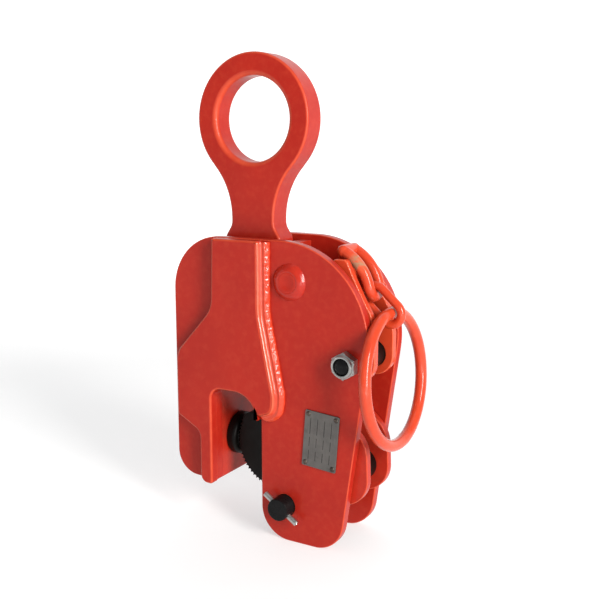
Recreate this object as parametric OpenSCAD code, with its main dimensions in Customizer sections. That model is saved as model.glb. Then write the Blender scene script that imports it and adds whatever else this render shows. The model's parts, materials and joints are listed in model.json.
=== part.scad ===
// Vertical plate lifting clamp: lifting eye, welded shell, toothed cam, swivel jaw and chain-pulled lock lever.
// Millimetres. The origin is the centre of the lifting eye's hole, +X points away from the jaw
// towards the pull ring, +Y runs through the thickness of the clamp and +Z is up.
// Every outline is drawn in the X-Z plane and extruded along Y.

/* [Lifting eye] */
// Radius of the hole that takes the crane hook
eye_hole_r = 25; // [22:0.5:28]
// Outer radius of the ring
eye_outer_r = 38.5; // [36:0.5:42]
// Thickness of the forged eye
eye_t = 16; // [14:0.5:18]
// Radius on the edges of the ring
eye_edge_r = 2.5; // [1:0.5:4]
// Half the width of the neck
neck_half = 15; // [12:0.5:17]
// Half the width of the guided head inside the shell
head_half = 19.5; // [18:0.5:20]

/* [Shell] */
// Thickness of each side plate
plate_t = 6; // [5:0.5:8]
// Gap between the two side plates
shell_gap = 34; // [33:0.5:38]
// Thickness of each raised hook plate
hook_t = 6; // [4:0.5:8]
// Height of the flat top edge
top_z = -68.5; // [-72:0.5:-66]
// Height of the lowest edge
bottom_z = -249.5; // [-252:0.5:-248]
// Left edge of the jaw side
left_x = -47.7; // [-50:0.1:-46]
// Leg of the fillet welds
weld_leg = 5; // [3:0.5:6]

/* [Mouth] */
// Jaw wall of the mouth
mouth_left_x = -17.5; // [-18.5:0.1:-17]
// Body side of the mouth
mouth_right_x = 15.2; // [14:0.1:16]
// Top of the mouth
mouth_top_z = -160.5; // [-162:0.5:-160]

/* [Jaw and cam] */
// Radius of the round swivel jaw pad
pad_r = 13.5; // [12:0.5:14]
// Height of the swivel jaw axis
pad_z = -196; // [-198:0.5:-194]
// How far the pad stands out of the wall
pad_out = 7; // [6:0.1:7.2]
// Radius of the swivel jaw shank
shank_r = 6; // [5:0.5:7]
// Thickness of the cam
cam_t = 22; // [20:0.5:22]
// Radius of the toothed arc
tooth_arc_r = 28.5; // [28:0.1:28.8]
// Number of teeth across the toothed arc
tooth_count = 19; // [12:1:24]
// Depth of the teeth
tooth_depth = 1.3; // [0.8:0.1:1.8]

/* [Pins and bolts] */
// Radius of the cam pin
cam_pin_r = 6.8; // [6:0.1:7.5]
// Radius of the pin between cam and link plates
link_pin_r = 5.5; // [4.5:0.1:6]
// Radius of the pin in the head of the lifting eye
eye_pin_r = 6; // [5:0.1:6.5]
// Radius of the lever bolt
lever_bolt_r = 5; // [4:0.5:5.5]
// Outer radius of the spacer tube that the lever turns on
spacer_r = 8; // [7:0.1:9]
// Radial clearance of every turning fit
run_gap = 0.05; // [0.02:0.01:0.1]

/* [Chain and pull ring] */
// Wire diameter of the curved bail on the lever
bail_d = 6.6; // [6:0.1:6.6]
// Radius of the bail's curve to the centre of its wire
bail_r = 28.9; // [28:0.1:29.5]
// Wire diameter of the chain link
chain_d = 5; // [4:0.1:5.2]
// Distance between the two straight sides of the chain link, wire centre to wire centre
link_width = 12.8; // [12.4:0.1:13]
// Wire diameter of the pull ring
ring_d = 7; // [6:0.1:7]
// Radius of the pull ring to the centre of its wire
ring_r = 38; // [36:0.5:40]
// Lean of the pull ring away from the shell
ring_lean = 5; // [4:0.5:9]

/* [Hidden] */
$fn = 64;

orange = [0.86, 0.22, 0.10];
black = [0.07, 0.07, 0.07];
zinc = [0.72, 0.73, 0.74];
plate_grey = [0.55, 0.57, 0.58];

in_y = shell_gap / 2;                  // inner face of a side plate
out_y = in_y + plate_t;                // outer face of a side plate
raised_y = out_y + hook_t;             // outer face of a hook plate
arc_step = 4;                          // degrees between the points of a round stretch

// pivots and pins, [x, z]
cam_pivot = [31.6, -227.4];
link_pivot = [66, -205];
eye_pivot = [0, -110];
lever_pivot = [72.5, -135.6];
stay_at = [35, -92];
bail_centre = [49.3, -100.6];           // centre of the bail's curve
spring_top = [57.5, -104];
spring_low = [58.5, -156.5];
tooth_centre = [18.6, -196];
nose_at = [1, -185];

eye_slack = 1.6;                       // play of the eye pin in the head, taken up as the cam turns
cheek_y0 = 9.8;                        // inner face of a lever cheek
cheek_t = 4.8;
link_y0 = 11.4;                        // inner face of a link plate
link_t = 5;
side_gap = 0.4;
pin_end_y = in_y - side_gap;           // pins held captive between the side plates
anchor_r = 2.5;
anchor_y = in_y + 3;                   // the anchor pin sits in blind holes

ring_centre = [91.4, -146.4];
ring_top = ring_centre + ring_r * [-sin(ring_lean), cos(ring_lean)];

// ---------- outline helpers ----------

function unit(v) = v / norm(v);
function turn(a) = a > 180 ? a - 360 : (a < -180 ? a + 360 : a);

// points of a corner p1 between p0 and p2, rounded by radius r
function corner(p0, p1, p2, r) =
    r <= 0 ? [p1] :
    let (u = unit(p0 - p1), v = unit(p2 - p1),
         half = acos(u * v) / 2,
         t = r / tan(half),
         c = p1 + unit(u + v) * r / sin(half),
         q0 = p1 + u * t - c, q1 = p1 + v * t - c,
         a0 = atan2(q0[1], q0[0]),
         sweep = turn(atan2(q1[1], q1[0]) - a0),
         n = max(1, ceil(abs(sweep) / arc_step)))
    [for (i = [0:n]) c + r * [cos(a0 + sweep * i / n), sin(a0 + sweep * i / n)]];

// outline through corners [x, z, radius]
function rounded(pts) =
    let (n = len(pts), xy = [for (p = pts) [p[0], p[1]]])
    [for (i = [0:n - 1]) each corner(xy[(i + n - 1) % n], xy[i], xy[(i + 1) % n], pts[i][2])];

// extrudes an X-Z outline from y0 to y1
module slab(y0, y1) {
    translate([0, y1, 0]) rotate([90, 0, 0]) linear_extrude(y1 - y0) children();
}

// round bar along Y at p = [x, z]
module rod(p, r, y0, y1) {
    translate([p[0], y1, p[1]]) rotate([90, 0, 0]) cylinder(r = r, h = y1 - y0);
}

// flat bar outline with round ends of radii r1 and r2
module bar(p1, r1, p2, r2) {
    d = p2 - p1;
    a = atan2(d[1], d[0]);
    b = acos((r1 - r2) / norm(d));
    up = [cos(a + b), sin(a + b)];
    dn = [cos(a - b), sin(a - b)];
    translate(p1) circle(r1);
    translate(p2) circle(r2);
    polygon([p1 + r1 * dn, p2 + r2 * dn, p2 + r2 * up, p1 + r1 * up]);
}

// oval chain link standing along Z with its end wires pitch apart; its sides lie along X
module oval_link(d, pitch, width) {
    straight = pitch - width;
    for (s = [-1, 1]) {
        translate([s * width / 2, 0, -straight / 2]) cylinder(d = d, h = straight);
        translate([0, 0, s * straight / 2]) rotate([s * 90, 0, 0])
            rotate_extrude(angle = 180) translate([width / 2, 0]) circle(d = d);
    }
}

// ---------- lifting eye ----------

fillet_r = 45;
fillet_at = [neck_half + fillet_r, -58.3];
fillet_touch = fillet_at * eye_outer_r / norm(fillet_at);

module eye_neck() {
    difference() {
        polygon([[-fillet_touch[0], fillet_touch[1]], [fillet_touch[0], fillet_touch[1]],
            [neck_half, fillet_at[1]], [-neck_half, fillet_at[1]]]);
        for (s = [-1, 1]) translate([s * fillet_at[0], fillet_at[1]]) circle(fillet_r, $fn = 180);
    }
    low = eye_pivot[1] - head_half;
    polygon(rounded([[-neck_half, -58, 0], [neck_half, -58, 0], [neck_half, -62.5, 8],
        [head_half, -69.5, 6], [head_half, low, head_half - 0.1], [-head_half, low, head_half - 0.1],
        [-head_half, -69.5, 6], [-neck_half, -62.5, 8]]));
}

module lifting_eye() color(orange) difference() {
    union() {
        rotate([90, 0, 0]) rotate_extrude($fn = 120)
            polygon(rounded([[eye_hole_r, -eye_t / 2, eye_edge_r], [eye_outer_r, -eye_t / 2, eye_edge_r],
                [eye_outer_r, eye_t / 2, eye_edge_r], [eye_hole_r, eye_t / 2, eye_edge_r]]));
        slab(-eye_t / 2, eye_t / 2) eye_neck();
    }
    rod(eye_pivot, eye_pin_r + eye_slack, -eye_t, eye_t);
}

// ---------- shell ----------

edge_lean = 0.1435;                    // inward slope of the right edge
function right_edge_x(z) = 85.8 + edge_lean * (z + 128);

side_outline = rounded([[left_x, top_z, 33.5], [right_edge_x(top_z), top_z, 57],
    [right_edge_x(bottom_z), bottom_z, 19], [mouth_right_x, bottom_z, 19],
    [mouth_right_x, mouth_top_z, 16], [mouth_left_x, mouth_top_z, 7],
    [mouth_left_x, -221.5, 1.5], [left_x, -220.5, 15]]);

hook_outline = rounded([[-15.3, -69, 1], [16.8, -69, 1], [16.9, -112, 40], [27, -160, 16],
    [26, -170, 6], [mouth_right_x, -173.5, 2], [mouth_right_x, mouth_top_z, 16],
    [mouth_left_x, mouth_top_z, 7], [mouth_left_x, -222.3, 2], [-26.3, -222.3, 5],
    [-26.3, -189.5, 7], [-43, -180.5, 3], [-43, -140.8, 14], [-16.5, -111.5, 18]]);

module side_plate(s) color(orange) difference() {
    slab(min(s * in_y, s * out_y), max(s * in_y, s * out_y)) polygon(side_outline);
    rod(cam_pivot, cam_pin_r + run_gap, -raised_y, raised_y);
    rod(lever_pivot, lever_bolt_r + run_gap, -raised_y, raised_y);
    rod(stay_at, 6, -raised_y, raised_y);
    rod(spring_low, anchor_r, -anchor_y, anchor_y);
}

module near_side_plate() side_plate(-1);
module far_side_plate() side_plate(1);

module hook_plate(s) color(orange)
    slab(min(s * out_y, s * raised_y), max(s * out_y, s * raised_y)) polygon(hook_outline);

module near_hook_plate() hook_plate(-1);
module far_hook_plate() hook_plate(1);

// fillet weld along the right edge of a hook plate: a bulged triangle swept along the edge
bead_path = rounded([[16.8, -69.5, 0], [16.9, -112, 40], [27, -160, 16], [26, -170, 6],
    [mouth_right_x + 0.3, -173.4, 0]]);

function left_normal(path, i) =
    let (a = path[max(i - 1, 0)], b = path[min(i + 1, len(path) - 1)], d = unit(b - a)) [-d[1], d[0]];

module bead(s) {
    n = len(bead_path);
    k = 4;
    pts = [for (i = [0:n - 1]) let (p = bead_path[i], m = left_normal(bead_path, i))
        each [[p[0], s * out_y, p[1]],
            [p[0] + m[0] * weld_leg, s * out_y, p[1] + m[1] * weld_leg],
            [p[0] + m[0] * weld_leg * 0.62, s * (out_y + weld_leg * 0.55), p[1] + m[1] * weld_leg * 0.62],
            [p[0], s * (out_y + weld_leg * 0.95), p[1]]]];
    sides = [for (i = [0:n - 2], j = [0:k - 1])
        [i * k + j, i * k + (j + 1) % k, (i + 1) * k + (j + 1) % k, (i + 1) * k + j]];
    first = [for (j = [k - 1:-1:0]) j];
    last = [for (j = [0:k - 1]) (n - 1) * k + j];
    polyhedron(points = pts, faces = s < 0 ? concat(sides, [first], [last])
        : [for (f = concat(sides, [first], [last])) [for (j = [len(f) - 1:-1:0]) f[j]]]);
}

module near_weld_bead() color(orange) bead(-1);
module far_weld_bead() color(orange) bead(1);

block_top_z = -150;

module jaw_block() color(orange) difference() {
    slab(-in_y, in_y) polygon(rounded([[left_x, block_top_z, 2], [mouth_left_x, block_top_z, 2],
        [mouth_left_x, -221.5, 1.5], [left_x, -220.5, 15]]));
    translate([left_x + 4, 0, pad_z]) rotate([0, 90, 0]) cylinder(r = shank_r + run_gap, h = 40);
    retaining_hole();
}

// guide blocks on both sides of the head of the lifting eye
guide_gap = 0.3;
guide_x = head_half + guide_gap;

module guide_block(x0, x1) color(orange)
    translate([x0, -in_y, -92]) cube([x1 - x0, shell_gap, 20]);

module left_guide_block() guide_block(-guide_x - 12, -guide_x);
module right_guide_block() guide_block(guide_x, guide_x + 7);

module cross_stay() color(orange) rod(stay_at, 6, -out_y - 3.2, out_y + 3.2);

// ring-shaped welds that hold the ends of the cross stay
module stay_weld_rings() color(orange) for (s = [-1, 1])
    translate([stay_at[0], s * out_y, stay_at[1]]) rotate([-s * 90, 0, 0])
        rotate_extrude() polygon([[6, 0], [11, 0], [10.4, 1], [8.6, 2.4], [7, 3], [6, 3]]);

// ---------- nameplate ----------

name_at = [56.1, -183];
name_w = 22.4;
name_h = 34;
name_tilt = -4.5;
name_t = 0.8;

module on_nameplate() translate([name_at[0], 0, name_at[1]]) rotate([0, -name_tilt, 0]) children();

module nameplate() color(plate_grey) on_nameplate() slab(-out_y - name_t, -out_y)
    polygon(rounded([for (c = [[-1, -1], [1, -1], [1, 1], [-1, 1]])
        [c[0] * name_w / 2, c[1] * name_h / 2, 1]]));

module nameplate_rivets() color(zinc) on_nameplate() for (sx = [-1, 1], sz = [-1, 1])
    translate([sx * (name_w / 2 - 2.2), -out_y - name_t, sz * (name_h / 2 - 2.2)]) rotate([90, 0, 0])
        rotate_extrude($fn = 24) polygon([[0, 0], [1.4, 0], [1.2, 0.45], [0.7, 0.75], [0, 0.85]]);

// ---------- lever bolt ----------

nut_af = 14;
nut_t = 7.6;
bolt_end_y = -31.2;
hex_r = nut_af / 2 / cos(30);

// hexagon prism along Y from y0 to y1
module hexagon(p, r, y0, y1) translate([p[0], y1, p[1]]) rotate([90, 0, 0])
    cylinder(r = r, h = y1 - y0, $fn = 6);

module lever_bolt() color(black) {
    rod(lever_pivot, lever_bolt_r, bolt_end_y + 0.8, out_y);
    translate([lever_pivot[0], bolt_end_y + 0.8, lever_pivot[1]]) rotate([90, 0, 0])
        cylinder(r1 = lever_bolt_r, r2 = lever_bolt_r - 0.8, h = 0.8);
    hexagon(lever_pivot, hex_r, out_y, out_y + 6.4);
}

module lever_nut() color(zinc) difference() {
    union() {
        hexagon(lever_pivot, hex_r, -out_y - nut_t + 1.6, -out_y);
        rod(lever_pivot, nut_af / 2 - 0.3, -out_y - nut_t, -out_y - nut_t + 1.6);
    }
    rod(lever_pivot, lever_bolt_r, -raised_y - 5, 0);
}

module lever_spacer() color(black) difference() {
    rod(lever_pivot, spacer_r, -in_y, in_y);
    rod(lever_pivot, lever_bolt_r + run_gap, -raised_y, raised_y);
}

// ---------- cam pin ----------

pin_end = -32.2;
spring_pin_y = -28;
spring_pin_r = 1.7;
spring_pin_tilt = 34;                  // turn of the spring pin about the cam pin's axis

module at_spring_pin() translate([cam_pivot[0], spring_pin_y, cam_pivot[1]])
    rotate([0, spring_pin_tilt, 0]) children();

module cam_pin() color(black) difference() {
    union() {
        rod(cam_pivot, cam_pin_r, pin_end + 1, out_y);
        translate([cam_pivot[0], pin_end + 1, cam_pivot[1]]) rotate([90, 0, 0])
            cylinder(r1 = cam_pin_r, r2 = cam_pin_r - 1, h = 1);
        rod(cam_pivot, 10, out_y, out_y + 5);
    }
    at_spring_pin() translate([-20, 0, 0]) rotate([0, 90, 0]) cylinder(r = spring_pin_r + run_gap, h = 40);
}

// slotted tube driven through the cam pin, its ends stand out on both sides
module cam_spring_pin() color(zinc) at_spring_pin() translate([-12.9, 0, 0]) rotate([0, 90, 0]) difference() {
    cylinder(r = spring_pin_r, h = 26.4);
    cylinder(r = spring_pin_r - 0.75, h = 26.4);
    translate([-0.45, 0, 0]) cube([0.9, spring_pin_r + 1, 26.4]);
}

module cam_spacers() color(black) for (s = [-1, 1]) difference() {
    rod(cam_pivot, 11.5, s > 0 ? cam_t / 2 + 0.2 : -in_y, s > 0 ? in_y : -cam_t / 2 - 0.2);
    rod(cam_pivot, cam_pin_r + run_gap, -raised_y, raised_y);
}

module spring_anchor_pin() color(black) rod(spring_low, anchor_r, -anchor_y, anchor_y);

// ---------- swivel jaw ----------

pin_side_y = 5.4;                      // sideways place of the retaining pin
pin_x = -33;
retain_r = 1.5;

module retaining_hole() translate([pin_x, pin_side_y, -230]) cylinder(r = retain_r, h = 42);

module jaw_retaining_pin() color(zinc) translate([pin_x, pin_side_y, -221]) cylinder(r = retain_r, h = 32.8);

module swivel_jaw() color(black) translate([mouth_left_x, 0, pad_z]) rotate([0, 90, 0]) difference() {
    union() {
        translate([0, 0, 0.4]) rotate_extrude($fn = 96) polygon(rounded([[0, 0, 0], [pad_r, 0, 0.8],
            [pad_r, pad_out - 0.4, 3], [pad_r - 4.5, pad_out - 0.4, 0.6], [pad_r - 5.2, pad_out - 1, 0.3],
            [0, pad_out - 1, 0]]));
        translate([0, 0, -25]) cylinder(r = shank_r, h = 26);
    }
    // groove that turns past the retaining pin
    translate([0, 0, pin_x - mouth_left_x - 2]) difference() {
        cylinder(r = shank_r + 1, h = 4);
        cylinder(r = pin_side_y - retain_r - 0.2, h = 4);
    }
}

// ---------- cam ----------

tooth_from = 152;
tooth_to = 250;

module cam_outline() {
    intersection() {
        translate(tooth_centre) circle(tooth_arc_r - tooth_depth, $fn = 160);
        polygon([[-16, -182], nose_at, [8, -184], [30, -206], [40, -226], [28, -240], [0, -240]]);
    }
    bar(nose_at, 7.5, cam_pivot, 15);
    bar(cam_pivot, 15, link_pivot, 9.7);
}

module cam() color(black) difference() {
    union() {
        slab(-cam_t / 2, cam_t / 2) cam_outline();
        step = (tooth_to - tooth_from) / tooth_count;
        foot = (tooth_arc_r - tooth_depth) * sin(step / 2);
        for (i = [0:tooth_count - 1])
            translate([tooth_centre[0], 0, tooth_centre[1]]) rotate([0, -(tooth_from + (i + 0.5) * step), 0])
                slab(-cam_t / 2, cam_t / 2) polygon([[tooth_arc_r - tooth_depth - 0.8, -foot],
                    [tooth_arc_r, 0], [tooth_arc_r - tooth_depth - 0.8, foot]]);
    }
    rod(cam_pivot, cam_pin_r + run_gap, -cam_t, cam_t);
    rod(link_pivot, link_pin_r + run_gap, -cam_t, cam_t);
}

module link_pin() color(black) rod(link_pivot, link_pin_r, -pin_end_y, pin_end_y);

// ---------- link plates ----------

elbow_at = [62.5, -192];

module link_outline() difference() {
    union() {
        bar(link_pivot, 17, elbow_at, 20);
        bar(elbow_at, 20, [36, -160], 14);
        bar([36, -160], 14, eye_pivot, 13);
    }
    translate(link_pivot) circle(link_pin_r + run_gap);
    translate(eye_pivot) circle(eye_pin_r + run_gap);
}

module near_link_plate() color(orange) slab(-link_y0 - link_t, -link_y0) link_outline();
module far_link_plate() color(orange) slab(link_y0, link_y0 + link_t) link_outline();

module eye_pin() color(black) rod(eye_pivot, eye_pin_r, -pin_end_y, pin_end_y);

module eye_pin_collars() color(zinc) for (s = [-1, 1]) difference() {
    rod(eye_pivot, 10, s > 0 ? eye_t / 2 + side_gap : -link_y0, s > 0 ? link_y0 : -eye_t / 2 - side_gap);
    rod(eye_pivot, eye_pin_r + run_gap, -in_y, in_y);
}

// ---------- lock lever ----------

bail_from = 66;                        // the bail's curve runs down between these angles
bail_to = 2;
leg_y = 6.4;                           // sideways place of a leg of the bail
bar_r = 3.5;                           // cross bars of the bail
bail_top = bail_centre + bail_r * [cos(bail_from), sin(bail_from)];
bail_low = bail_centre + bail_r * [cos(bail_to), sin(bail_to)];

cheek_outline = rounded([[59.5, -78, 3], [67, -78, 3], [72.5, -89.5, 10], [78, -100, 8], [82.8, -108, 8],
    [85.6, -122, 14], [85.5, -148.5, 12.5], [60, -148.5, 12.5], [59.5, -122, 10], [52, -108, 6], [52, -86, 5]]);

module lock_lever() color(orange) difference() {
    union() {
        for (s = [-1, 1]) slab(min(s * cheek_y0, s * (cheek_y0 + cheek_t)),
            max(s * cheek_y0, s * (cheek_y0 + cheek_t))) polygon(cheek_outline);
        // web between the cheeks
        slab(-cheek_y0, cheek_y0) polygon([[56, -81.5], [62, -81.5], [62, -91], [56, -91]]);
        // saddle that carries the cross bar of the bail
        slab(-3, 3) bar([59, -86], 3.6, [60, -77.2], 4.2);
    }
    rod(lever_pivot, spacer_r + run_gap, -in_y, in_y);
    rod(bail_top, bar_r, -3, 3);
    rod(spring_top, 2, -in_y, in_y);
}

// closed bail: two curved legs with a cross bar at each end
module pull_bail() color(orange) {
    for (c = [bail_top, bail_low]) rod(c, bar_r, -9.75, 9.75);
    for (s = [-1, 1]) translate([bail_centre[0], s * leg_y, bail_centre[1]]) rotate([90, 0, 0])
        rotate([0, 0, bail_to]) rotate_extrude(angle = bail_from - bail_to)
            translate([bail_r, 0]) circle(d = bail_d);
}

module lever_spring_pin() color(black) rod(spring_top, 2, -cheek_y0 - cheek_t, cheek_y0 + cheek_t);

// tension spring as its outer envelope, with a loop at each end
spring_r = 4.6;

module lock_spring() color(zinc) {
    mid_x = (spring_top[0] + spring_low[0]) / 2;
    translate([mid_x, 0, spring_low[1] + 6.2]) cylinder(r = spring_r, h = spring_top[1] - spring_low[1] - 12);
    for (e = [[spring_low, anchor_r], [spring_top, 2]])
        translate([e[0][0], 0, e[0][1]]) rotate([90, 0, 0])
            rotate_extrude($fn = 40) translate([e[1] + 1.3, 0]) circle(r = 1, $fn = 24);
    for (e = [[spring_low[1] + 3.6, 3.4], [spring_top[1] - 6.6, 3.4]])
        translate([mid_x, 0, e[0]]) cylinder(r = 1, h = e[1]);
}

// ---------- chain and pull ring ----------

// the link lies over the bail's low cross bar and under the top of the ring, with a little play
link_pitch = 26.4;
link_dir = unit(ring_top - bail_low);
link_mid = bail_low + (link_pitch / 2 - bar_r - chain_d / 2 - 0.2) * link_dir;

module along(dir) rotate([0, atan2(-dir[0], -dir[1]), 0]) children();

module chain_link() color(orange) translate([link_mid[0], 0, link_mid[1]]) along(link_dir)
    oval_link(chain_d, link_pitch, link_width);

module pull_ring() color(orange) translate([ring_centre[0], 0, ring_centre[1]]) rotate([0, 90 - ring_lean, 0])
    rotate_extrude($fn = 120) translate([ring_r, 0]) circle(d = ring_d);

lifting_eye();
near_side_plate();
far_side_plate();
near_hook_plate();
far_hook_plate();
near_weld_bead();
far_weld_bead();
jaw_block();
left_guide_block();
right_guide_block();
cross_stay();
stay_weld_rings();
nameplate();
nameplate_rivets();
lever_bolt();
lever_nut();
lever_spacer();
cam_pin();
cam_spring_pin();
cam_spacers();
spring_anchor_pin();
jaw_retaining_pin();
swivel_jaw();
cam();
link_pin();
near_link_plate();
far_link_plate();
eye_pin();
eye_pin_collars();
lock_lever();
lever_spring_pin();
lock_spring();
pull_bail();
chain_link();
pull_ring();
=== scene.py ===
import json
import math

import bmesh
import bpy
import numpy as np
from mathutils import Matrix, Vector, noise
from mathutils.geometry import tessellate_polygon

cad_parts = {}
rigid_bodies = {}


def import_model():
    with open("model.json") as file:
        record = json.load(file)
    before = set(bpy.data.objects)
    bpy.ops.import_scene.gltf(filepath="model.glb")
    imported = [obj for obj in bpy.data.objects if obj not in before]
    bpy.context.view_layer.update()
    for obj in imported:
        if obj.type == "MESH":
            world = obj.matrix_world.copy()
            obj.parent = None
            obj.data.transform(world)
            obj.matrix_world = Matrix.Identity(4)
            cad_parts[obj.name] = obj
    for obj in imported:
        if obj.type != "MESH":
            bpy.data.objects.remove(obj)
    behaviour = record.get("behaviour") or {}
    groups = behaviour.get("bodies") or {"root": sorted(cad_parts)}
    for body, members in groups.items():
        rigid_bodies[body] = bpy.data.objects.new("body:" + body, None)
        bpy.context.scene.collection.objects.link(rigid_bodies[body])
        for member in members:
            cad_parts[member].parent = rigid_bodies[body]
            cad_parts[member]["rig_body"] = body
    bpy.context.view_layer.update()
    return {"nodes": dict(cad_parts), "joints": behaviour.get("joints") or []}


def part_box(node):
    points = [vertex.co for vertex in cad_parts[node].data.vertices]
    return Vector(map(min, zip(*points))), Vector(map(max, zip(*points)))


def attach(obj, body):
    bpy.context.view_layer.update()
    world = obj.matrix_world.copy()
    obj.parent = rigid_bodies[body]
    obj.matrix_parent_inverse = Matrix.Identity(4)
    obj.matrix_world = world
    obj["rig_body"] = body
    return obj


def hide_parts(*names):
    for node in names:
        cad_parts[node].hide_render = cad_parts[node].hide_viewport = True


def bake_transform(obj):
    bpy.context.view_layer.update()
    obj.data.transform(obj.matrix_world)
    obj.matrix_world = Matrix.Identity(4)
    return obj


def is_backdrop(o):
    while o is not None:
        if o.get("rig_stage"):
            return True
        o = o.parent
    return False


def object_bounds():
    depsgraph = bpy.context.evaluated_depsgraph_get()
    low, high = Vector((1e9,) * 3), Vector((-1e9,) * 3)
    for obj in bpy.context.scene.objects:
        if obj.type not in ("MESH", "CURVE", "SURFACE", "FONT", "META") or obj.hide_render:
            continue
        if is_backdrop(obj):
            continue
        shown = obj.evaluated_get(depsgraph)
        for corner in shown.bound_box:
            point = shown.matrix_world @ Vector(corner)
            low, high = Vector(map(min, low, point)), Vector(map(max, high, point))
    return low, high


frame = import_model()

MM = 0.001
Y_AXIS = Vector((0, 1, 0))
QUARTER = np.linspace(0, math.pi / 2, 9)


# ---------- places taken from the frame ----------

def joint_at(name):
    """Pivot of a joint, in metres."""
    return Vector(next(j["pos_m"] for j in frame["joints"] if j["name"] == name))


def middle(node):
    lo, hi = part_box(node)
    return (lo + hi) / 2


def box_y(node):
    lo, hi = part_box(node)
    return lo.y, hi.y


def section(node, y):
    """Closed outlines of a CAD node cut at y, as arrays of [x, z]. The largest comes first and runs
    anticlockwise, and the others run clockwise, as holes do."""
    bm = bmesh.new()
    bm.from_mesh(frame["nodes"][node].data)
    bmesh.ops.remove_doubles(bm, verts=bm.verts, dist=2e-6)
    cut = bmesh.ops.bisect_plane(bm, geom=bm.verts[:] + bm.edges[:] + bm.faces[:], dist=1e-7,
                                 plane_co=(0, y, 0), plane_no=(0, 1, 0))["geom_cut"]
    near = {}
    for e in cut:
        if isinstance(e, bmesh.types.BMEdge):
            a, b = e.verts
            near.setdefault(a, []).append(b)
            near.setdefault(b, []).append(a)
    loops, used = [], set()
    for start in near:
        if start in used:
            continue
        line, last, here = [start], None, start
        used.add(start)
        while True:
            after = [v for v in near[here] if v is not last and v not in used]
            if not after:
                break
            last, here = here, after[0]
            used.add(here)
            line.append(here)
        if len(line) > 3:
            loops.append(cleaned(np.array([[v.co.x, v.co.z] for v in line])))
    bm.free()
    loops.sort(key=lambda p: -abs(area(p)))
    return [p if (area(p) > 0) == (i == 0) else p[::-1] for i, p in enumerate(loops)]


def area(p):
    """Signed area of a closed outline, positive where it runs anticlockwise."""
    q = np.roll(p, -1, 0)
    return float(np.sum(p[:, 0] * q[:, 1] - q[:, 0] * p[:, 1])) / 2


def cleaned(p):
    """Drops doubled and straight-line points, then adds support points along long straights."""
    p = p[np.linalg.norm(p - np.roll(p, 1, 0), axis=1) > 0.02 * MM]
    a, b = p - np.roll(p, 1, 0), np.roll(p, -1, 0) - p
    bend = np.abs(np.arctan2(a[:, 0] * b[:, 1] - a[:, 1] * b[:, 0], np.sum(a * b, 1)))
    p = p[bend > math.radians(0.3)]
    out, straight, spacing, margin = [], 4 * MM, 12 * MM, 0.8 * MM
    for here, there in zip(p, np.roll(p, -1, 0)):
        out.append(here)
        long = np.linalg.norm(there - here)
        if long > straight:
            step = (there - here) / long
            count = max(1, int(long / spacing))
            out.append(here + step * margin)
            out += [here + step * long * k / (count + 1) for k in range(1, count + 1)]
            out.append(there - step * margin)
    return np.array(out)


def inward(p):
    """Mitred step into the material for each point of an outline, and the plain unit normal."""
    a, b = p - np.roll(p, 1, 0), np.roll(p, -1, 0) - p
    a /= np.linalg.norm(a, axis=1)[:, None]
    b /= np.linalg.norm(b, axis=1)[:, None]
    na, nb = np.stack([-a[:, 1], a[:, 0]], 1), np.stack([-b[:, 1], b[:, 0]], 1)
    total = na + nb
    unit = total / np.maximum(np.linalg.norm(total, axis=1), 1e-6)[:, None]
    return unit / np.maximum(np.sum(unit * na, 1), 0.4)[:, None], unit


# ---------- mesh makers ----------

def piece(name, verts, faces, body, material, replaces=(), normals=None, edge=None, crease=35):
    """Links a mesh as a finished piece of the object."""
    me = bpy.data.meshes.new(name)
    me.from_pydata([tuple(v) for v in verts], [], faces)
    me.validate()
    bm = bmesh.new()
    bm.from_mesh(me)
    bmesh.ops.recalc_face_normals(bm, faces=bm.faces)
    bm.to_mesh(me)
    bm.free()
    me.shade_smooth()
    edge_wear_and_sheen = me.attributes.new("edge", "FLOAT", "POINT")
    edge_wear_and_sheen.data.foreach_set("value", np.zeros(len(me.vertices), np.float32) if edge is None
                          else np.array(edge, np.float32))
    if normals is not None:
        me.normals_split_custom_set_from_vertices([tuple(n) for n in normals])
    else:
        me.set_sharp_from_angle(angle=math.radians(crease))
    o = bpy.data.objects.new(name, me)
    bpy.context.scene.collection.objects.link(o)
    o.data.materials.append(material)
    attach(o, body)
    if replaces:
        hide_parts(*replaces)
    return o


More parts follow.
